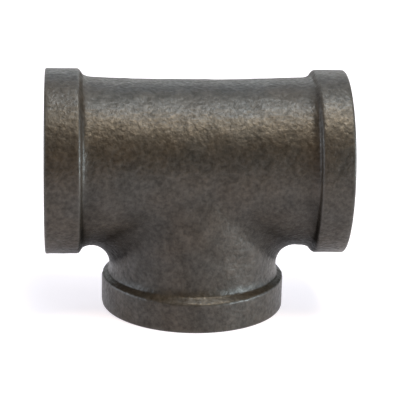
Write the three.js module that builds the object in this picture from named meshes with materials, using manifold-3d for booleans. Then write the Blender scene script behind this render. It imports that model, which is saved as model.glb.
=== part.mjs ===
import * as THREE from "three";
import { mergeVertices, toCreasedNormals } from "three/addons/utils/BufferGeometryUtils.js";
import Module from "manifold-3d";

// Equal banded pipe tee, 1-1/4 in NPT, Class 150 malleable iron.
// Millimetres, +Z up. The run lies along X, the branch points down and its
// end face rests on z = 0, so the run axis is CENTRE_TO_END above the floor.

const CENTRE_TO_END = 44.45;
const RUN_SEGMENTS = 52;
const BRANCH_SEGMENTS = 52;
const MOUTH_SEGMENTS = 26;

// Bands: the raised collars round the three mouths, each finished slightly
// differently by the cut of its end face.
const LEFT_BAND = { radius: 27.55, width: 9.65 };
const RIGHT_BAND = { radius: 27.3, width: 8.85 };
const BRANCH_BAND = { radius: 27.4, width: 8.4 };
const FACE_CHAMFER = 0.5;

// Shoulder behind a band: rounded crest, steep slope, tight foot, long flare.
const SHOULDER_ANGLE = THREE.MathUtils.degToRad(62);
const FLARE_ANGLE = THREE.MathUtils.degToRad(24);
const CREST_RADIUS = 0.8;
const FOOT_RADIUS = 1.2;
const FLARE_RADIUS = 6;

// Body between the bands: the barrel is slightly waisted, the neck is
// a little fuller toward the crotches than at its front and back.
const BARREL_WAIST_RADIUS = 24.4;
const BARREL_END_RADIUS = 25.05;
const BARREL_HALF_LENGTH = 31;
const NECK_SIDE_RADIUS = 24.35;
const NECK_CROTCH_RADIUS = 25.2;
const LEFT_CROTCH_FILLET = 6.9;
const RIGHT_CROTCH_FILLET = 5.9;
const FRONT_FILLET = 10;
const FILLET_STEPS = 5;

// Cored chamber behind the threads.
const CHAMBER_RADIUS = 21.1;
const BRANCH_CHAMBER_RADIUS = 20.9;
const CHAMBER_MOUTH_RADIUS = 18.2;
const CHAMBER_MOUTH_DEPTH = 15.9;
const CHAMBER_FULL_DEPTH = 18.8;

// Taper thread: 11.5 threads per inch, 60 degrees, 1 in 16 on the diameter.
const PITCH = 25.4 / 11.5;
const THREAD_HEIGHT = 1.6;
const PITCH_RADIUS_AT_FACE = 20.109;
const TAPER_PER_DEPTH = 1 / 32;
const THREAD_LEAD_IN_TURNS = 1.5;
const THREAD_TURNS = 9;
const COUNTERSINK_RADIUS = 21.75;
const COUNTERSINK_DEPTH = 2.6;

const wasm = await Module();
wasm.setup();

/** Radius of the waisted barrel at a distance x from the centre plane. */
function barrelRadius(x) {
  const t = Math.min(Math.abs(x) / BARREL_HALF_LENGTH, 1);
  return BARREL_WAIST_RADIUS + (BARREL_END_RADIUS - BARREL_WAIST_RADIUS) * t * t;
}

/** Radius of the neck in the direction phi, measured from the run direction. */
function neckRadius(phi) {
  return NECK_SIDE_RADIUS + (NECK_CROTCH_RADIUS - NECK_SIDE_RADIUS) * Math.cos(phi) ** 2;
}

/** Radius of the ball rolled round the outside corner, smallest in the two crotches. */
function cornerFillet(phi) {
  const crotch = THREE.MathUtils.lerp(RIGHT_CROTCH_FILLET, LEFT_CROTCH_FILLET, (1 - Math.cos(phi)) / 2);
  return crotch + (FRONT_FILLET - crotch) * Math.sin(phi) ** 2;
}

/**
 * Outline of one band as [radius, distance from the end face] pairs, from the
 * face edge over the flat and down the shoulder to the body radius behind it.
 */
function bandOutline({ radius, width }, bodyRadius) {
  const points = [[radius - FACE_CHAMFER, 0], [radius, FACE_CHAMFER], [radius, width]];
  const turn = (arcRadius, from, to) => {
    const [r, d] = points[points.length - 1];
    const drop = arcRadius * Math.abs(Math.cos(from) - Math.cos(to));
    points.push([r - drop, d + arcRadius * Math.abs(Math.sin(to) - Math.sin(from))]);
  };
  turn(CREST_RADIUS, 0, SHOULDER_ANGLE / 2);
  turn(CREST_RADIUS, SHOULDER_ANGLE / 2, SHOULDER_ANGLE);
  const [crestEnd, slopeStart] = points[points.length - 1];
  const footHeight = FOOT_RADIUS * (Math.cos(FLARE_ANGLE) - Math.cos(SHOULDER_ANGLE));
  const flareHeight = FLARE_RADIUS * (1 - Math.cos(FLARE_ANGLE));
  const slopeHeight = crestEnd - bodyRadius - footHeight - flareHeight;
  points.push([crestEnd - slopeHeight, slopeStart + slopeHeight / Math.tan(SHOULDER_ANGLE)]);
  turn(FOOT_RADIUS, SHOULDER_ANGLE, FLARE_ANGLE);
  turn(FLARE_RADIUS, FLARE_ANGLE, FLARE_ANGLE / 2);
  turn(FLARE_RADIUS, FLARE_ANGLE / 2, 0);
  return points;
}

/** Solid of revolution about Z from [radius, z] pairs that start and end on the axis. */
function revolve(pairs, segments) {
  const lathe = new THREE.LatheGeometry(pairs.map(([r, z]) => new THREE.Vector2(r, z)), segments);
  return lathe.rotateX(Math.PI / 2);
}

/** Run: both bands and the waisted barrel, solid, about X at the run axis height. */
function runSolid() {
  const left = bandOutline(LEFT_BAND, BARREL_END_RADIUS).map(([r, d]) => [r, d - CENTRE_TO_END]);
  const right = bandOutline(RIGHT_BAND, BARREL_END_RADIUS)
    .map(([r, d]) => [r, CENTRE_TO_END - d])
    .reverse();
  const barrel = [-24, -12, 0, 12, 24].map((x) => [barrelRadius(x), x]);
  const outline = [[0, -CENTRE_TO_END], ...left, ...barrel, ...right, [0, CENTRE_TO_END]];
  return revolve(outline, RUN_SEGMENTS)
    .rotateY(Math.PI / 2)
    .translate(0, 0, CENTRE_TO_END);
}

/**
 * Point of the crotch fillet in the direction phi. A ball of the fillet radius
 * rests on neck and barrel; t runs from its contact with the neck (0) to its
 * contact with the barrel (1), and one step beyond (2) lies inside the barrel wall.
 */
function filletPoint(phi, t) {
  const r = cornerFillet(phi);
  const neck = neckRadius(phi);
  const reach = neck + r;
  const centre = new THREE.Vector3(reach * Math.cos(phi), reach * Math.sin(phi), 0);
  const barrel = barrelRadius(centre.x);
  centre.z = -Math.sqrt((barrel + r) ** 2 - centre.y ** 2);
  const axisFoot = new THREE.Vector3(centre.x, 0, 0);
  const toBarrel = axisFoot.clone().sub(centre).normalize();
  if (t > 1) return centre.clone().addScaledVector(toBarrel, r + 1.4 * (t - 1));
  const toNeck = new THREE.Vector3(-Math.cos(phi), -Math.sin(phi), 0);
  const sweep = toNeck.angleTo(toBarrel);
  const a = Math.sin((1 - t) * sweep) / Math.sin(sweep);
  const b = Math.sin(t * sweep) / Math.sin(sweep);
  return centre.clone().addScaledVector(toNeck, r * a).addScaledVector(toBarrel, r * b);
}

/**
 * Branch: band, oval neck and crotch fillet. It is revolved as rings, then the
 * rings above the band take the neck radius and the fillet of their direction.
 */
function branchSolid() {
  const band = bandOutline(BRANCH_BAND, NECK_SIDE_RADIUS);
  const outline = [[0, 0], ...band];
  for (let i = 0; i <= FILLET_STEPS + 1; i++) outline.push([NECK_SIDE_RADIUS, 20 + i]);
  outline.push([0, CENTRE_TO_END]);
  const geometry = revolve(outline, BRANCH_SEGMENTS);
  const position = geometry.getAttribute("position");
  const rings = outline.length;
  for (let i = 0; i < position.count; i++) {
    const ring = i % rings;
    const phi = Math.atan2(position.getY(i), position.getX(i));
    if (ring > band.length && ring < rings - 1) {
      const step = ring - band.length - 1;
      const p = filletPoint(phi, step > FILLET_STEPS ? 2 : step / FILLET_STEPS);
      position.setXYZ(i, p.x, p.y, p.z + CENTRE_TO_END);
    } else if (ring > 2 && ring <= band.length) {
      const radius = outline[ring][0];
      const share = (BRANCH_BAND.radius - radius) / (BRANCH_BAND.radius - NECK_SIDE_RADIUS);
      const grown = radius + share * (neckRadius(phi) - NECK_SIDE_RADIUS);
      position.setXY(i, grown * Math.cos(phi), grown * Math.sin(phi));
    }
  }
  return geometry;
}

/** Cored space of the run, with a coned mouth behind each thread. */
function runChamber() {
  const mouth = CENTRE_TO_END - CHAMBER_MOUTH_DEPTH;
  const full = CENTRE_TO_END - CHAMBER_FULL_DEPTH;
  const outline = [
    [0, -mouth], [CHAMBER_MOUTH_RADIUS, -mouth], [CHAMBER_RADIUS, -full],
    [CHAMBER_RADIUS, full], [CHAMBER_MOUTH_RADIUS, mouth], [0, mouth],
  ];
  return revolve(outline, RUN_SEGMENTS)
    .rotateY(Math.PI / 2)
    .translate(0, 0, CENTRE_TO_END);
}

/** Cored space of the branch, from its coned mouth up to the run axis. */
function branchChamber() {
  return revolve([
    [0, CHAMBER_MOUTH_DEPTH], [CHAMBER_MOUTH_RADIUS, CHAMBER_MOUTH_DEPTH],
    [BRANCH_CHAMBER_RADIUS, CHAMBER_FULL_DEPTH], [BRANCH_CHAMBER_RADIUS, CENTRE_TO_END],
    [0, CENTRE_TO_END],
  ], BRANCH_SEGMENTS);
}

/** 45 degree countersink at a mouth; local +Z points into the fitting. */
function countersink() {
  const over = 1;
  return revolve([
    [0, -over], [COUNTERSINK_RADIUS + over, -over],
    [COUNTERSINK_RADIUS - COUNTERSINK_DEPTH, COUNTERSINK_DEPTH], [0, COUNTERSINK_DEPTH],
  ], MOUTH_SEGMENTS).rotateZ(-Math.PI / 2);
}

/** Radius of the thread crest line (smallest bore) at a depth below the face. */
function minorRadius(depth) {
  return PITCH_RADIUS_AT_FACE - THREAD_HEIGHT / 2 - depth * TAPER_PER_DEPTH;
}

/**
 * Space of one right-hand taper thread, starting outside the face at z = 0 and
 * running inward along +Z: helical rows of the 60 degree form, closed at both
 * ends by a fan to the axis.
 */
function taperThread() {
  const flank = THREAD_HEIGHT * Math.tan(Math.PI / 6);
  const flat = PITCH / 2 - flank;
  const form = [[0, 0], [flat, 0], [flat + flank, THREAD_HEIGHT], [2 * flat + flank, THREAD_HEIGHT]];
  const start = -THREAD_LEAD_IN_TURNS * PITCH;
  const perTurn = form.length;
  const lastRow = THREAD_TURNS * perTurn;
  const vertices = [];
  const triangles = [];
  const point = (row, column) => {
    const [offset, height] = form[row % perTurn];
    const theta = (2 * Math.PI * column) / MOUTH_SEGMENTS;
    const turn = Math.floor(row / perTurn) + column / MOUTH_SEGMENTS;
    const depth = start + turn * PITCH + offset;
    const radius = minorRadius(depth) + height;
    return [radius * Math.cos(theta), radius * Math.sin(theta), depth];
  };
  const index = (row, column) => (column < MOUTH_SEGMENTS
    ? row * MOUTH_SEGMENTS + column
    : (row + perTurn) * MOUTH_SEGMENTS);
  for (let row = 0; row <= lastRow + perTurn; row++) {
    for (let column = 0; column < MOUTH_SEGMENTS; column++) vertices.push(...point(row, column));
  }
  for (let row = 0; row < lastRow; row++) {
    for (let column = 0; column < MOUTH_SEGMENTS; column++) {
      const a = index(row, column);
      const b = index(row, column + 1);
      const c = index(row + 1, column + 1);
      const d = index(row + 1, column);
      triangles.push(a, b, c, a, c, d);
    }
  }
  const outerEnd = vertices.length / 3;
  const innerEnd = outerEnd + 1;
  vertices.push(0, 0, start + PITCH / 2, 0, 0, start + (THREAD_TURNS + 0.5) * PITCH);
  for (let column = 0; column < MOUTH_SEGMENTS; column++) {
    triangles.push(index(0, column + 1), index(0, column), outerEnd);
    triangles.push(index(lastRow, column), index(lastRow, column + 1), innerEnd);
  }
  for (let row = 0; row < perTurn; row++) {
    triangles.push(index(row, 0), index(row + 1, 0), outerEnd);
    triangles.push(index(lastRow + row + 1, 0), index(lastRow + row, 0), innerEnd);
  }
  const geometry = new THREE.BufferGeometry();
  geometry.setAttribute("position", new THREE.Float32BufferAttribute(vertices, 3));
  geometry.setIndex(triangles);
  return geometry;
}

/** The three mouths: how a socket whose +Z points inward is turned and placed. */
const MOUTHS = [
  new THREE.Matrix4().makeTranslation(-CENTRE_TO_END, 0, CENTRE_TO_END)
    .multiply(new THREE.Matrix4().makeRotationY(Math.PI / 2)),
  new THREE.Matrix4().makeTranslation(CENTRE_TO_END, 0, CENTRE_TO_END)
    .multiply(new THREE.Matrix4().makeRotationY(-Math.PI / 2)),
  new THREE.Matrix4(),
];

/** Closed manifold body of a geometry. */
function solid(geometry) {
  const bare = geometry.clone();
  bare.deleteAttribute("normal");
  bare.deleteAttribute("uv");
  const merged = mergeVertices(bare, 1e-4);
  return new wasm.Manifold(new wasm.Mesh({
    numProp: 3,
    vertProperties: new Float32Array(merged.getAttribute("position").array),
    triVerts: new Uint32Array(merged.getIndex().array),
  }));
}

/** The casting: run and branch joined, then cored, countersunk and threaded. */
function castingGeometry() {
  let body = solid(runSolid()).add(solid(branchSolid()));
  body = body.subtract(solid(runChamber()).add(solid(branchChamber())));
  for (const mouth of MOUTHS) {
    body = body.subtract(solid(taperThread().applyMatrix4(mouth)));
    body = body.subtract(solid(countersink().applyMatrix4(mouth)));
  }
  const mesh = body.getMesh();
  const geometry = new THREE.BufferGeometry();
  geometry.setAttribute("position", new THREE.Float32BufferAttribute(mesh.vertProperties, 3));
  geometry.setIndex([...mesh.triVerts]);
  return toCreasedNormals(geometry, Math.PI / 7);
}

const blackIron = new THREE.MeshStandardMaterial({
  name: "black_iron",
  color: new THREE.Color().setRGB(0.29, 0.28, 0.265, THREE.SRGBColorSpace),
  roughness: 0.62,
  metalness: 0.55,
});

const casting = new THREE.Mesh(castingGeometry(), blackIron);
casting.name = "tee_casting";

const tee = new THREE.Group();
tee.name = "tee_fitting";
tee.add(casting);

export default tee;
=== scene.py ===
import math

import bmesh
import bpy
import numpy as np
from mathutils import Matrix, Vector, noise


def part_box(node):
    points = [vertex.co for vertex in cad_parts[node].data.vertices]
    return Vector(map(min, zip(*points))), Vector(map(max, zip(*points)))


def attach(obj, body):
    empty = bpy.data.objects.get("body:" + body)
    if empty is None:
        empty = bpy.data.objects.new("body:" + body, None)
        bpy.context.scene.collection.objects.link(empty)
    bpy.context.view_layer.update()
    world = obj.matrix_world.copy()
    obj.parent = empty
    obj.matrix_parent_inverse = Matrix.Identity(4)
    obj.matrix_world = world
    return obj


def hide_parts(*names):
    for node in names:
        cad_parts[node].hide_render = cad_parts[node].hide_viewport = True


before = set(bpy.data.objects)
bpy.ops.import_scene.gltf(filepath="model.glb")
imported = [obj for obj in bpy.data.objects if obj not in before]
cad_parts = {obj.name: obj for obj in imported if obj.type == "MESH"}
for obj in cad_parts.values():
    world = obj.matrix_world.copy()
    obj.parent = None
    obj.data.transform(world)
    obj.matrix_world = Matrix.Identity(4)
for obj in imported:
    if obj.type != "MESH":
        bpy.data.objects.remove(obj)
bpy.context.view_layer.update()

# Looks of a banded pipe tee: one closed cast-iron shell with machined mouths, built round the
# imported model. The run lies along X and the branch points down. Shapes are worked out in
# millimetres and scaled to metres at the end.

MM = 0.001

# ---------------------------------------------------------------- driving dimensions, in millimetres
# The overall sizes come from the frame; the rest describe the casting's shape.
_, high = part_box("tee_casting")
CENTRE_TO_END = high.x / MM
LEFT_BAND_RADIUS = high.y / MM
RUN_HEIGHT = high.z / MM - LEFT_BAND_RADIUS

# Band radius, and its width from the face to the middle of the shoulder, at each mouth:
# the three faces are cut by slightly different amounts.
RIGHT_BAND_RADIUS = LEFT_BAND_RADIUS - 0.25
BRANCH_BAND_RADIUS = LEFT_BAND_RADIUS - 0.15
LEFT_WIDTH = 10.63
RIGHT_WIDTH = 9.77
BRANCH_SIDE_WIDTH = 9.85
BRANCH_FRONT_WIDTH = 9.6
FACE_EDGE_RADIUS = 0.6

# Shoulder behind a band (slope angle, crest radius, foot radius), then a long flare into the body.
# A run shoulder is crisp at front and back and softened by fettling along the mould's parting
# plane, y = 0; the branch's is crisp there and softer at front and back.
CRISP_SHOULDER = math.radians(72), 0.75, 0.95
SOFT_SHOULDER = math.radians(54), 1.3, 1.2
BRANCH_SIDE_SHOULDER = math.radians(68), 0.8, 0.9
BRANCH_FRONT_SHOULDER = math.radians(59), 1.2, 1.3
FLARE_ANGLE = math.radians(24)
FLARE_RADIUS = 6.0

BARREL_WAIST_RADIUS = 24.4
BARREL_END_RADIUS = 25.05
BARREL_HALF_LENGTH = 31.0
NECK_SIDE_RADIUS = 24.35
NECK_CROTCH_RADIUS = 25.2
LEFT_CROTCH_FILLET = 6.9
RIGHT_CROTCH_FILLET = 5.9
FRONT_FILLET = 10.0

CHAMBER_RADIUS = 21.1
BRANCH_CHAMBER_RADIUS = 20.9
CORE_EDGE_RADIUS = 2.5
CHAMBER_FULL_DEPTH = 18.8

# Taper thread: 11.5 threads per inch, 60 degrees, 1 in 16 on the diameter.
PITCH = 25.4 / 11.5
THREAD_HEIGHT = 1.6
PITCH_RADIUS_AT_FACE = 20.109
TAPER_PER_DEPTH = 1 / 32
COUNTERSINK_RADIUS = 21.75
COUNTERSINK_EDGE = 0.25     # depth of the countersink's first ring, where the threaded wall starts

# As-cast surface: sizes and heights of its unevenness, and the mould's parting-line seam.
SKIN_LAYERS = (16, 0.16), (6, 0.08), (2.6, 0.05)
CORE_LAYERS = (9, 0.25), (3.2, 0.14)
NOISE_PLACE = 7.3, 2.9      # with a layer's size, where in the noise the layer is taken from
SEAM_HALF_WIDTH = 0.8
SEAM_HEIGHT = 0.1
SEAM_UNEVENNESS = 0.08
SEAM_PATCH = 7.0
FACED_MARGIN = 0.1          # next to a machined face the cast surface is cut level,
FADE_LENGTH = 1.2           # and its unevenness grows over this length

# ---------------------------------------------------------------- mesh density
FACE_EDGE_CELLS = 4   # cells over each part of a band's outline
BAND_FLAT_CELLS = 11
CREST_CELLS = 4
FOOT_CELLS = 3
FLARE_CELLS = 5
RING = 220            # points round a run band
HALF_SIDE = 61        # of them, half of those that the branch's patch takes
ALONG = 86            # cells along the barrel between the two run bands
PATCH_ROWS = 20       # rows between the patch's edge and the corner fillet
FILLET_ROWS = 9
NECK_ROWS = 22
INNER_RING = 110
INNER_HALF_SIDE = 30
INNER_ALONG = 44
INNER_PATCH_ROWS = 8
INNER_FILLET_ROWS = 4
INNER_NECK_ROWS = 4
SHARP_ANGLE = math.radians(38)

# Finishes, in the order of the material slots.
SKIN, RUN_CUT, BRANCH_CUT, CORE = 0, 1, 2, 3


class Shell:
    """Points in millimetres and faces with a finish each, filled patch by patch."""

    def __init__(self):
        self.points = []
        self.faces = []
        self.finishes = []

    def add(self, points):
        """Adds points and returns their numbers."""
        first = len(self.points)
        self.points.extend(points)
        return list(range(first, first + len(points)))

    def face(self, corners, finish):
        """Adds a face, without corners that repeat, unless fewer than three are left."""
        corners = [c for i, c in enumerate(corners) if c not in corners[:i]]
        if len(corners) > 2:
            self.faces.append(corners)
            self.finishes.append(finish)

    def strip(self, a, b, finish, closed=True):
        """Quads between two rows of the same length."""
        for i in range(len(a) if closed else len(a) - 1):
            j = (i + 1) % len(a)
            self.face([a[i], a[j], b[j], b[i]], finish)

    def halving(self, outer, inner, finish):
        """Joins a ring to one with half its points."""
        for i in range(len(inner)):
            a, b, c = (outer[(2 * i + k) % len(outer)] for k in range(3))
            j = (i + 1) % len(inner)
            self.face([a, b, inner[i]], finish)
            self.face([b, c, inner[j], inner[i]], finish)


# ---------------------------------------------------------------- outlines
def band_outline(band_radius, width, body_radius, shoulder):
    """
    (radius, depth below the end face) from the face's outer edge, over the band, to the body
    behind its shoulder.
    """
    angle, crest_radius, foot_radius = shoulder
    outline = [(band_radius - FACE_EDGE_RADIUS, 0)]

    def arc(radius, start, end, steps):
        """Continues with a rounding; both angles are the surface's tilt against the band's flat."""
        r, d = outline[-1]
        for u in np.linspace(start, end, steps + 1)[1:]:
            outline.append((
                r + radius * abs(math.cos(u) - math.cos(start)) * (1 if start < 0 else -1),
                d + radius * abs(math.sin(u) - math.sin(start))))

    crest_height = crest_radius * (1 - math.cos(angle))
    foot_height = foot_radius * (math.cos(FLARE_ANGLE) - math.cos(angle))
    flare_height = FLARE_RADIUS * (1 - math.cos(FLARE_ANGLE))
    height = band_radius - body_radius - crest_height - foot_height - flare_height
    run = height / math.tan(angle)
    flat_end = width - run / 2 - crest_radius * math.sin(angle)

    arc(FACE_EDGE_RADIUS, -math.pi / 2, 0, FACE_EDGE_CELLS)
    flat = np.linspace(FACE_EDGE_RADIUS, flat_end, BAND_FLAT_CELLS + 1)
    outline += [(band_radius, depth) for depth in flat[1:]]
    arc(crest_radius, 0, angle, CREST_CELLS)
    top_radius, top_depth = outline[-1]
    outline += [(top_radius - share * height, top_depth + share * run) for share in (0.5, 1)]
    arc(foot_radius, angle, FLARE_ANGLE, FOOT_CELLS)
    arc(FLARE_RADIUS, FLARE_ANGLE, 0, FLARE_CELLS)
    return outline


def shoulder_pair(band_radius, widths, body_radius, shoulders=(SOFT_SHOULDER, CRISP_SHOULDER)):
    """The band's outline at the parting plane and at front and back, point for point."""
    return list(zip(*(
        band_outline(band_radius, width, body_radius, shoulder)
        for width, shoulder in zip(widths, shoulders))))


# The run's two bands by side, -1 at -X and 1 at +X.
RUN_BANDS = {
    -1: shoulder_pair(LEFT_BAND_RADIUS, (LEFT_WIDTH, LEFT_WIDTH), BARREL_END_RADIUS),
    1: shoulder_pair(RIGHT_BAND_RADIUS, (RIGHT_WIDTH, RIGHT_WIDTH), BARREL_END_RADIUS),
}
BRANCH_BAND = shoulder_pair(
    BRANCH_BAND_RADIUS, (BRANCH_SIDE_WIDTH, BRANCH_FRONT_WIDTH), NECK_SIDE_RADIUS,
    (BRANCH_SIDE_SHOULDER, BRANCH_FRONT_SHOULDER))


def between(pair, share):
    """(radius, depth) part of the way from the parting plane's point to the front's."""
    return [a + share * (b - a) for a, b in zip(*pair)]


def branch_between(pair, phi):
    """(radius, depth) of a branch band's point; the front's shape holds only close to the front."""
    return between(pair, math.sin(phi) ** 4)


def barrel_radius(x):
    """Radius of the waisted barrel at x."""
    t = min(abs(x) / BARREL_HALF_LENGTH, 1)
    return BARREL_WAIST_RADIUS + (BARREL_END_RADIUS - BARREL_WAIST_RADIUS) * t ** 2


def neck_radius(phi):
    """Radius of the neck in the direction phi from the run's direction."""
    return NECK_SIDE_RADIUS + (NECK_CROTCH_RADIUS - NECK_SIDE_RADIUS) * math.cos(phi) ** 2


def run_point(x, psi, radius):
    """Point at an angle psi round the run axis, from straight down towards +Y."""
    return (x, radius * math.sin(psi), RUN_HEIGHT - radius * math.cos(psi))


class Junction:
    """Where the branch's tube meets the run's: a ball rolled round the corner between the two."""

    def __init__(self, run_radius, branch_radius, ball_radius):
        self.run_radius = run_radius
        self.branch_radius = branch_radius
        self.ball_radius = ball_radius

    def point(self, phi, t):
        """t runs from the ball's contact with the run (0) to its contact with the branch (1)."""
        ball = self.ball_radius(phi)
        reach = self.branch_radius(phi) + ball
        centre = Vector((reach * math.cos(phi), reach * math.sin(phi), 0))
        from_axis = self.run_radius(centre.x) + ball
        centre.z = -math.sqrt(from_axis ** 2 - centre.y ** 2)
        to_run = Vector((0, -centre.y, -centre.z)).normalized()
        to_branch = Vector((-math.cos(phi), -math.sin(phi), 0))
        p = centre + ball * to_run.slerp(to_branch, t)
        return (p.x, p.y, p.z + RUN_HEIGHT)

    def foot(self, phi):
        """(x, angle round the run) of the ball's contact with the run."""
        ball = self.ball_radius(phi)
        reach = self.branch_radius(phi) + ball
        x = reach * math.cos(phi)
        return x, math.asin(reach * math.sin(phi) / (self.run_radius(x) + ball))


def corner_fillet(phi):
    """Radius of the ball rolled round the outside corner: smallest in the two crotches."""
    leftness = (1 - math.cos(phi)) / 2
    crotch = RIGHT_CROTCH_FILLET + (LEFT_CROTCH_FILLET - RIGHT_CROTCH_FILLET) * leftness
    return crotch + (FRONT_FILLET - crotch) * math.sin(phi) ** 2


OUTER_JUNCTION = Junction(barrel_radius, neck_radius, corner_fillet)
CORE_JUNCTION = Junction(
    lambda x: CHAMBER_RADIUS, lambda phi: BRANCH_CHAMBER_RADIUS, lambda phi: CORE_EDGE_RADIUS)


# ---------------------------------------------------------------- patches
def tube_with_branch(shell, junction, ends, ring, half_side, along, rows, finish):
    """
    The run's tube between two rings of points that start straight down, with the hole that the
    branch leaves through. Returns the hole's edge, ordered by phi, and phi at each of its points.
    """
    radius = junction.run_radius
    step = 2 * math.pi / ring
    left, right = ends
    end_x = [[shell.points[i][0] for i in end] for end in ends]

    # The tube above the branch's patch, as rows of points from the right end to the left.
    top = [[right[j]] for j in range(half_side, ring - half_side + 1)]
    for row, j in zip(top, range(half_side, ring - half_side + 1)):
        xs = np.linspace(end_x[1][j], end_x[0][j], along + 1)
        row += shell.add([run_point(x, j * step, radius(x)) for x in xs[1:-1]])
        row.append(left[j])
    for a, b in zip(top, top[1:]):
        shell.strip(a, b, finish, closed=False)

    # The patch's edge as phi grows, from the right end on: (point, angle round the run).
    side = range(-half_side, half_side + 1)
    edge = [(right[j % ring], j * step) for j in side]
    edge += [(top[0][i], half_side * step) for i in range(1, along)]
    edge += [(left[j % ring], j * step) for j in reversed(side)]
    edge += [(top[-1][i], -half_side * step) for i in range(along - 1, 0, -1)]

    # phi at each of those points; the patch's four corners are at +-corner and pi +-corner.
    corner = math.pi * half_side / (2 * half_side + along)
    phis = list(np.linspace(-corner, corner, 2 * half_side + 1))
    phis += list(np.linspace(corner, math.pi - corner, along + 1)[1:])
    phis += list(np.linspace(math.pi - corner, math.pi + corner, 2 * half_side + 1)[1:])
    phis += list(np.linspace(math.pi + corner, 2 * math.pi - corner, along + 1)[1:-1])

    # Rows from that edge in to where the corner's ball touches the run.
    feet = [junction.foot(phi) for phi in phis]
    previous = [e[0] for e in edge]
    for s in np.linspace(0, 1, rows + 1)[1:]:
        points = []
        for (start, psi0), (x1, psi1) in zip(edge, feet):
            x0 = shell.points[start][0]
            x = x0 + s * (x1 - x0)
            points.append(run_point(x, psi0 + s * (psi1 - psi0), radius(x)))
        current = shell.add(points)
        shell.strip(previous, current, finish)
        previous = current
    return previous, phis


def corner_and_tube(shell, junction, edge, phis, steps, depths, base, finish):
    """
    From the hole's edge round the rolled corner and down the branch's tube, to the height that
    base gives for each phi.
    """
    for t in np.linspace(0, 1, steps + 1)[1:]:
        current = shell.add([junction.point(phi, t) for phi in phis])
        shell.strip(edge, current, finish)
        edge = current
    tops = [shell.points[i][2] for i in edge]
    for s in np.linspace(0, 1, depths + 1)[1:]:
        current = shell.add([
            (junction.branch_radius(phi) * math.cos(phi), junction.branch_radius(phi) * math.sin(phi),
             z + s * (base(phi) - z))
            for phi, z in zip(phis, tops)])
        shell.strip(edge, current, finish)
        edge = current
    return edge


def run_ring(shell, side, radius, depth, count):
    """A ring round the run axis at a depth below the face on that side, -1 or 1."""
    x = side * (CENTRE_TO_END - depth)
    return shell.add([run_point(x, 2 * math.pi * j / count, radius) for j in range(count)])


def run_band_ring(shell, side, pair):
    """A ring of a run band, crisp at front and back and soft above and below."""
    points = []
    for j in range(RING):
        psi = 2 * math.pi * j / RING
        radius, depth = between(pair, math.sin(psi) ** 2)
        points.append(run_point(side * (CENTRE_TO_END - depth), psi, radius))
    return shell.add(points)


def branch_ring(shell, radius, depth, phis):
    """A ring round the branch axis at a depth above its face."""
    return shell.add([(radius * math.cos(phi), radius * math.sin(phi), depth) for phi in phis])


def branch_band_ring(shell, pair, phis):
    """A ring of the branch band; its shoulder runs out into the oval neck."""
    points = []
    for phi in phis:
        radius, depth = branch_between(pair, phi)
        if depth > FACE_EDGE_RADIUS:
            down = (BRANCH_BAND_RADIUS - radius) / (BRANCH_BAND_RADIUS - NECK_SIDE_RADIUS)
            radius += down * (neck_radius(phi) - NECK_SIDE_RADIUS)
        points.append((radius * math.cos(phi), radius * math.sin(phi), depth))
    return shell.add(points)


def rings_between(shell, rings, finish):
    for a, b in zip(rings, rings[1:]):
        shell.strip(a, b, finish)


def socket_radius(depth, height):
    """Radius of the bore wall at a depth: thread, countersink or chamber cone, whichever is widest."""
    thread = PITCH_RADIUS_AT_FACE - THREAD_HEIGHT / 2 + height - depth * TAPER_PER_DEPTH
    cone = CHAMBER_RADIUS - (CHAMBER_FULL_DEPTH - depth)
    return max(thread, COUNTERSINK_RADIUS - depth, cone)


def thread_strip(shell, first, last, angles, place, finish):
    """
    The helical wall between a ring just inside the face and the ring where the chamber starts.
    angles are those of both rings' points, growing right-handed into the fitting;
    place turns (radius, angle, depth) into a point.
    """
    flank = THREAD_HEIGHT * math.tan(math.pi / 6)
    flat = PITCH / 2 - flank
    # One thread: (offset along the axis, how far the wall stands back from the crest).
    form = [
        (0, 0), (flat, 0),
        (flat + flank / 2, THREAD_HEIGHT / 2),
        (flat + flank, THREAD_HEIGHT), (2 * flat + flank, THREAD_HEIGHT),
        (2 * flat + 1.5 * flank, THREAD_HEIGHT / 2),
    ]
    top, bottom = COUNTERSINK_EDGE, CHAMBER_FULL_DEPTH
    nearest = 0.05      # a corner closer than this to the first or last ring falls on it
    turns_outside = 2   # by which the helix is longer than the wall at either end
    count = len(angles)
    rows = len(form) * (int(bottom / PITCH) + 2 * turns_outside)
    number = {}

    def corner(row, column):
        """Number of a point of the helix. A turn on, the same row is one thread deeper."""
        if column == count:
            row, column = row + len(form), 0
        turn = (angles[column] - angles[0]) / (2 * math.pi)
        offset, height = form[row % len(form)]
        depth = (row // len(form) - turns_outside + turn) * PITCH + offset
        if depth < top + nearest:
            return first[column]
        if depth > bottom - nearest:
            return last[column]
        if (row, column) not in number:
            radius = socket_radius(depth, height)
            number[row, column], = shell.add([place(radius, angles[column], depth)])
        return number[row, column]

    for row in range(rows):
        for column in range(count):
            shell.face([corner(row, column), corner(row, column + 1),
                        corner(row + 1, column + 1), corner(row + 1, column)], finish)


# ---------------------------------------------------------------- the casting
def outside(shell):
    """The cast skin. Returns the rings of points round the run's and the branch's faces."""
    bands = {}
    for side in (-1, 1):
        bands[side] = [run_band_ring(shell, side, pair) for pair in RUN_BANDS[side]]
        rings_between(shell, bands[side], SKIN)
    edge, phis = tube_with_branch(
        shell, OUTER_JUNCTION, (bands[-1][-1], bands[1][-1]),
        RING, HALF_SIDE, ALONG, PATCH_ROWS, SKIN)
    edge = corner_and_tube(
        shell, OUTER_JUNCTION, edge, phis, FILLET_ROWS, NECK_ROWS,
        lambda phi: branch_between(BRANCH_BAND[-1], phi)[1], SKIN)
    branch_rings = [branch_band_ring(shell, pair, phis) for pair in reversed(BRANCH_BAND[:-1])]
    rings_between(shell, [edge, *branch_rings], SKIN)
    return {side: bands[side][0] for side in bands}, branch_rings[-1]


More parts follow.
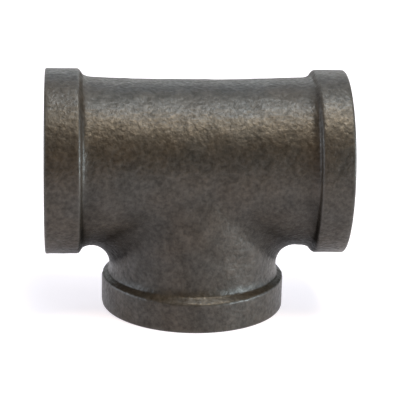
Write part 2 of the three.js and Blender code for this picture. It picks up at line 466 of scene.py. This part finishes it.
def chamber(shell):
    """
    The cored space, made like the outside. Returns the rings where the threads start,
    and phi at each point of the branch's.
    """
    starts = {
        side: run_ring(shell, side, CHAMBER_RADIUS, CHAMBER_FULL_DEPTH, INNER_RING) for side in (-1, 1)}
    edge, phis = tube_with_branch(
        shell, CORE_JUNCTION, (starts[-1], starts[1]),
        INNER_RING, INNER_HALF_SIDE, INNER_ALONG, INNER_PATCH_ROWS, CORE)
    edge = corner_and_tube(
        shell, CORE_JUNCTION, edge, phis, INNER_FILLET_ROWS, INNER_NECK_ROWS,
        lambda phi: CHAMBER_FULL_DEPTH, CORE)
    return starts, edge, phis


def run_mouth(shell, side, face, start):
    """The face, countersink and thread at one end of the run."""
    rim = run_ring(shell, side, COUNTERSINK_RADIUS, 0, INNER_RING)
    shell.halving(face, rim, RUN_CUT)
    first = run_ring(
        shell, side, COUNTERSINK_RADIUS - COUNTERSINK_EDGE, COUNTERSINK_EDGE, INNER_RING)
    shell.strip(rim, first, RUN_CUT)
    order = [(-side * j) % INNER_RING for j in range(INNER_RING)]
    thread_strip(
        shell, [first[j] for j in order], [start[j] for j in order],
        [2 * math.pi * j / INNER_RING for j in range(INNER_RING)],
        lambda r, a, d: run_point(side * (CENTRE_TO_END - d), -side * a, r), RUN_CUT)


def branch_mouth(shell, face, start, phis):
    """The face, countersink and thread of the branch."""
    rim = branch_ring(shell, COUNTERSINK_RADIUS, 0, phis)
    shell.halving(face, rim, BRANCH_CUT)
    first = branch_ring(shell, COUNTERSINK_RADIUS - COUNTERSINK_EDGE, COUNTERSINK_EDGE, phis)
    shell.strip(rim, first, BRANCH_CUT)
    thread_strip(
        shell, first, start, phis, lambda r, a, d: (r * math.cos(a), r * math.sin(a), d), BRANCH_CUT)


def build_shell():
    shell = Shell()
    run_faces, branch_face = outside(shell)
    run_starts, branch_start, phis = chamber(shell)
    for side in (-1, 1):
        run_mouth(shell, side, run_faces[side], run_starts[side])
    branch_mouth(shell, branch_face, branch_start, phis)
    return shell


def layers(p, scales):
    """Sum of smooth noise at several sizes, (size, height) pairs; each size has its own noise."""
    return sum(
        height * noise.noise(p / size + Vector((size, *NOISE_PLACE))) for size, height in scales)


def cast_height(p):
    """How far the as-cast outside stands off its nominal surface at p."""
    seam = math.exp(-(p.y / SEAM_HALF_WIDTH) ** 2) * (
        SEAM_HEIGHT + SEAM_UNEVENNESS * noise.noise(p / SEAM_PATCH))
    below_face = min(CENTRE_TO_END - abs(p.x), p.z)
    fade = min(max((below_face - FACED_MARGIN) / FADE_LENGTH, 0), 1)
    return (layers(p, SKIN_LAYERS) + seam) * fade


def core_height(p):
    """The same for the cored chamber, which is rougher and has no seam."""
    return layers(p, CORE_LAYERS)


def roughen(mesh):
    """Turns all faces outward and moves the cast points off their nominal surface."""
    work = bmesh.new()
    work.from_mesh(mesh)
    bmesh.ops.recalc_face_normals(work, faces=work.faces)
    work.normal_update()
    for vertex in work.verts:
        finishes = {face.material_index for face in vertex.link_faces}
        if finishes == {SKIN}:
            vertex.co += vertex.normal * cast_height(vertex.co)
        elif finishes == {CORE}:
            vertex.co += vertex.normal * core_height(vertex.co)
    work.to_mesh(mesh)
    work.free()


def build_casting():
    shell = build_shell()
    mesh = bpy.data.meshes.new("tee_casting_looks")
    mesh.from_pydata(shell.points, [], shell.faces)
    mesh.polygons.foreach_set("material_index", shell.finishes)
    roughen(mesh)
    mesh.transform(Matrix.Scale(MM, 4))
    mesh.shade_smooth()
    mesh.set_sharp_from_angle(angle=SHARP_ANGLE)
    casting = bpy.data.objects.new("banded_tee", mesh)
    bpy.context.scene.collection.objects.link(casting)
    return casting


# ---------------------------------------------------------------- materials
class Nodes:
    """A short way to write a material's node tree."""

    def __init__(self, name):
        self.material = bpy.data.materials.new(name)
        self.material.use_nodes = True
        self.tree = self.material.node_tree
        self.shader = self.tree.nodes["Principled BSDF"]
        self.place = self.add("ShaderNodeTexCoord").outputs["Object"]

    def add(self, kind, inputs=(), **settings):
        node = self.tree.nodes.new(kind)
        for key, value in settings.items():
            setattr(node, key, value)
        for key, value in dict(inputs).items():
            if isinstance(value, bpy.types.NodeSocket):
                self.tree.links.new(value, node.inputs[key])
            else:
                node.inputs[key].default_value = value
        return node

    def noise(self, size_mm, detail=2.0, roughness=0.5, place=None):
        """Noise with features of about that size, 0 to 1 round 0.5."""
        return self.add("ShaderNodeTexNoise", {
            "Vector": place or self.place, "Scale": 1 / (size_mm * MM),
            "Detail": detail, "Roughness": roughness,
        }).outputs["Fac"]

    def turned(self, turn, shift):
        """
        A place that hardly changes round an axis, so that noise in it runs in rings like a
        lathe's marks. turn and shift bring the axis to the local Z.
        """
        drift = 0.03    # how fast the marks change round a ring, against across the rings
        local = self.add("ShaderNodeMapping", {
            "Vector": self.place, "Rotation": turn, "Location": shift}).outputs[0]
        flat = self.add(
            "ShaderNodeVectorMath", {0: local, 1: (1, 1, 0)}, operation="MULTIPLY").outputs[0]
        radius = self.add("ShaderNodeVectorMath", {0: flat}, operation="LENGTH").outputs["Value"]
        parts = self.add("ShaderNodeSeparateXYZ", {"Vector": local}).outputs
        return self.add("ShaderNodeCombineXYZ", {
            "X": radius, "Y": parts["Z"], "Z": self.math("MULTIPLY", parts["X"], drift)}).outputs[0]

    def ramp(self, value, stops):
        """Colour ramp; stops are (position, linear colour or grey)."""
        node = self.add("ShaderNodeValToRGB", {"Fac": value})
        elements = node.color_ramp.elements
        while len(elements) < len(stops):
            elements.new(0.5)
        for element, (position, colour) in zip(elements, stops):
            element.position = position
            colour = colour if isinstance(colour, tuple) else (colour,) * 3
            element.color = (*colour, 1)
        return node.outputs["Color"]

    def mix(self, factor, a, b, blend="MIX"):
        """Colour a blended with b by the factor; each may be a socket or a value."""
        node = self.add("ShaderNodeMix", data_type="RGBA", blend_type=blend)
        for socket, value in zip((node.inputs[0], node.inputs[6], node.inputs[7]), (factor, a, b)):
            if isinstance(value, bpy.types.NodeSocket):
                self.tree.links.new(value, socket)
            else:
                socket.default_value = value if isinstance(value, (int, float)) else (*value, 1)
        return node.outputs[2]

    def math(self, operation, a, b):
        return self.add("ShaderNodeMath", {0: a, 1: b}, operation=operation).outputs[0]

    def pointiness(self):
        """0.5 on flat ground, more on outside edges, less in inside corners."""
        return self.add("ShaderNodeNewGeometry").outputs["Pointiness"]

    def openness(self, reach_mm):
        """1 where nothing of the casting stands near, less in its corners."""
        return self.add(
            "ShaderNodeAmbientOcclusion", {"Distance": reach_mm * MM},
            samples=8, only_local=True).outputs["AO"]

    def upward(self):
        """1 on surfaces that face up, -1 on those that face down."""
        facing = self.add("ShaderNodeTexCoord").outputs["Normal"]
        return self.add("ShaderNodeSeparateXYZ", {"Vector": facing}).outputs["Z"]

    def remap(self, value, old, new):
        """Value mapped from the range old to the range new, clamped to it."""
        return self.add("ShaderNodeMapRange", {
            "Value": value, "From Min": old[0], "From Max": old[1], "To Min": new[0], "To Max": new[1],
        }).outputs["Result"]

    def bump(self, height, depth_mm, under=None):
        """Normal of a surface that the height lifts by up to depth_mm, on top of another's."""
        inputs = {"Height": height, "Distance": depth_mm * MM, "Strength": 1.0}
        if under is not None:
            inputs["Normal"] = under
        return self.add("ShaderNodeBump", inputs).outputs["Normal"]

    def set(self, **inputs):
        """Sets or links the shader's inputs, named with _ for each space."""
        for key, value in inputs.items():
            socket = self.shader.inputs[key.replace("_", " ")]
            if isinstance(value, bpy.types.NodeSocket):
                self.tree.links.new(value, socket)
            else:
                socket.default_value = value
        return self.material


def cast_skin():
    """Black malleable iron as cast: brown-black and sandy, its edges worn lighter and glossier with a
    painted edge highlight, and painted shade darkening its corners and underside.
    """
    n = Nodes("cast_skin")
    broad = n.noise(12, detail=3)
    patches = n.noise(5, detail=2)
    grain = n.noise(1.3, detail=2, roughness=0.6)
    glint = n.noise(0.9, detail=1)
    # Worn edges, partly real rubbing and partly a painted highlight: convex edges get a lighter colour
    # and more gloss.
    edge_wear_and_highlight = n.remap(n.pointiness(), (0.51, 0.55), (0, 1))
    # Painted shade: where the casting closes in on surfaces that face down, as in the crotches, the
    # colour goes near black and the gloss dull.
    shade_occlusion = n.remap(n.openness(24), (1.0, 0.82), (0, 1))
    corner = n.math("MULTIPLY", shade_occlusion, n.remap(n.upward(), (-0.02, -0.25), (0.05, 1)))

    colour = n.ramp(broad, [(0.35, (0.027, 0.019, 0.012)), (0.65, (0.022, 0.018, 0.014))])
    colour = n.mix(0.35, colour, n.ramp(patches, [(0.3, 0.36), (0.7, 0.66)]), "OVERLAY")
    colour = n.mix(0.6, colour, n.ramp(grain, [(0.3, 0.25), (0.7, 0.80)]), "OVERLAY")
    # painted shade: near-black colour in those closed-in, downward-facing corners
    colour = n.mix(corner, colour, (0.006, 0.005, 0.004))
    # worn edges lightened, partly as a painted edge highlight
    colour = n.mix(edge_wear_and_highlight, colour, (0.050, 0.045, 0.040))

    # Gloss: grainy and patchy, raised on worn edges as partly a painted edge highlight, and cut as
    # painted shade in corners and on the underside.
    gloss_and_painted_light = n.math(
        "ADD", n.remap(grain, (0.3, 0.7), (0.30, 0.50)), n.remap(patches, (0.3, 0.7), (-0.05, 0.08)))
    # partly a painted edge highlight: more gloss on convex edges
    gloss_and_painted_light = n.math("ADD", gloss_and_painted_light, n.math("MULTIPLY", edge_wear_and_highlight, 0.15))
    # painted shade: gloss dulled in those corners
    gloss_and_painted_light = n.math("MULTIPLY", gloss_and_painted_light, n.remap(corner, (0, 1), (1, 0.15)))
    # Painted shade: gloss dulled on surfaces that face down.
    gloss_and_painted_light = n.math("MULTIPLY", gloss_and_painted_light, n.remap(n.upward(), (-0.35, -0.75), (1, 0.6)))

    normal = n.bump(n.noise(2.6, detail=1), 0.07)
    normal = n.bump(grain, 0.16, normal)
    return n.set(
        Base_Color=colour, Roughness=n.remap(glint, (0.35, 0.65), (0.49, 0.37)),
        Specular_IOR_Level=gloss_and_painted_light, Metallic=0.0, Normal=normal)


def machined_iron(name, turn, shift):
    """
    Freshly cut iron under a film of oil, with fine turning marks round the axis that
    turn and shift give.
    """
    n = Nodes(name)
    stain = n.noise(9, detail=3)
    marks = n.noise(0.3, detail=2, roughness=0.6, place=n.turned(turn, shift))
    colour = n.ramp(stain, [(0.35, (0.19, 0.18, 0.165)), (0.7, (0.26, 0.25, 0.235))])
    colour = n.mix(0.35, colour, n.ramp(marks, [(0.3, 0.2), (0.7, 0.8)]), "OVERLAY")
    return n.set(
        Base_Color=colour, Roughness=n.remap(marks, (0.3, 0.7), (0.44, 0.28)), Metallic=1.0,
        Normal=n.bump(marks, 0.03))


def core_skin():
    """Inside of the chamber: rough from the sand core, darker and browner."""
    n = Nodes("core_skin")
    broad = n.noise(6, detail=4)
    grain = n.noise(1.1, detail=3, roughness=0.6)
    colour = n.ramp(broad, [(0.35, (0.030, 0.024, 0.019)), (0.7, (0.060, 0.045, 0.034))])
    return n.set(Base_Color=colour, Roughness=0.7, Metallic=0.0, Normal=n.bump(grain, 0.3))


# ---------------------------------------------------------------- studio
VIEW_AZIMUTH = math.radians(-4.31)     # round from the front, towards +X
VIEW_ELEVATION = math.radians(17.15)
VIEW_ROLL = math.radians(1.26)
VIEW_TARGET = 1.86, 0, RUN_HEIGHT - 12.17
VIEW_DISTANCE = 510.4
SENSOR_WIDTH = 36
LENS = 152.7
WORLD_COLOUR = 0.92, 0.95, 1.0, 1
WORLD_STRENGTH = 0.02
FLOOR_HALF_SIZE = 6.0                  # metres
FLOOR_COLOUR = 0.46, 0.44, 0.46, 1
FLOOR_GLOW_COLOUR = 1.0, 0.96, 1.0, 1
FLOOR_GLOW = 0.74


def outward(azimuth, elevation):
    """Unit vector that many radians round from the front and up."""
    return Vector((
        math.sin(azimuth) * math.cos(elevation),
        -math.cos(azimuth) * math.cos(elevation),
        math.sin(elevation)))


def camera():
    back = outward(VIEW_AZIMUTH, VIEW_ELEVATION)
    right = (-back).cross(Vector((0, 0, 1))).normalized()
    up = right.cross(-back)
    right, up = (
        right * math.cos(VIEW_ROLL) + up * math.sin(VIEW_ROLL),
        up * math.cos(VIEW_ROLL) - right * math.sin(VIEW_ROLL))
    data = bpy.data.cameras.new("camera")
    data.sensor_width = SENSOR_WIDTH
    data.lens = LENS
    data.clip_start, data.clip_end = 0.01, 20
    view = bpy.data.objects.new("camera", data)
    turn = Matrix((right, up, back)).transposed().to_4x4()
    place = (Vector(VIEW_TARGET) + VIEW_DISTANCE * back) * MM
    view.matrix_world = Matrix.Translation(place) @ turn
    bpy.context.scene.collection.objects.link(view)
    bpy.context.scene.camera = view


def softbox(name, direction, distance, size, power, colour, shift=0.0):
    """
    A soft lamp that faces the casting from a direction (degrees round from the front, degrees
    up), then is shifted along the run. Distance, size and shift are in metres, power in watts.
    """
    data = bpy.data.lights.new(name, "AREA")
    data.shape = "RECTANGLE"
    data.size, data.size_y = size
    data.energy = power
    data.color = colour
    out = outward(*map(math.radians, direction))
    place = Vector((shift, 0, RUN_HEIGHT * MM)) + distance * out
    turn = (-out).to_track_quat("-Z", "Y").to_matrix().to_4x4()
    lamp = bpy.data.objects.new(name, data)
    lamp.matrix_world = Matrix.Translation(place) @ turn
    bpy.context.scene.collection.objects.link(lamp)


def surroundings():
    """Dim and even, so that the lamps shape the object."""
    world = bpy.data.worlds.new("studio")
    world.use_nodes = True
    background = world.node_tree.nodes["Background"]
    background.inputs["Color"].default_value = WORLD_COLOUR
    background.inputs["Strength"].default_value = WORLD_STRENGTH
    bpy.context.scene.world = world
    bpy.context.scene.view_settings.view_transform = "Standard"


def floor():
    """A pale sheet that glows a little, like a lit photo table."""
    half = FLOOR_HALF_SIZE
    data = bpy.data.meshes.new("floor")
    corners = [(-half, -half, 0), (half, -half, 0), (half, half, 0), (-half, half, 0)]
    data.from_pydata(corners, [], [(0, 1, 2, 3)])
    sheet = bpy.data.objects.new("floor", data)
    bpy.context.scene.collection.objects.link(sheet)
    data.materials.append(Nodes("paper").set(
        Base_Color=FLOOR_COLOUR, Roughness=0.9,
        Emission_Color=FLOOR_GLOW_COLOUR, Emission_Strength=FLOOR_GLOW))


def lamps():
    softbox("overhead", (0, 90), 0.8, (0.35, 0.22), 3.6, (0.84, 0.94, 1.0), 0.13)
    softbox("front_top", (0, 70), 0.8, (0.35, 0.22), 5.1, (1.0, 0.82, 0.58), 0.18)
    softbox("back_top", (180, 70), 0.8, (1.0, 0.22), 1.4, (0.93, 0.96, 0.90))
    softbox("back_high", (180, 45), 0.8, (1.0, 0.22), 1.1, (0.62, 0.80, 1.0))
    softbox("back", (180, 20), 1.1, (1.2, 0.3), 2.9, (0.93, 0.97, 0.98))
    softbox("left", (-90, 12), 0.8, (0.8, 0.3), 4.5, (0.82, 0.91, 1.0))
    softbox("right", (90, 12), 0.8, (0.8, 0.3), 1.5, (0.60, 0.80, 1.0))
    softbox("front_right", (60, 8), 0.9, (0.4, 0.25), 8.0, (0.84, 0.97, 1.0))


# ---------------------------------------------------------------- scene
camera()
surroundings()
floor()
lamps()
tee = build_casting()
for material in (
        cast_skin(),
        machined_iron("run_cut", (0, math.pi / 2, 0), (-RUN_HEIGHT * MM, 0, 0)),
        machined_iron("branch_cut", (0, 0, 0), (0, 0, 0)),
        core_skin()):
    tee.data.materials.append(material)
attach(tee, "root")
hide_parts("tee_casting")
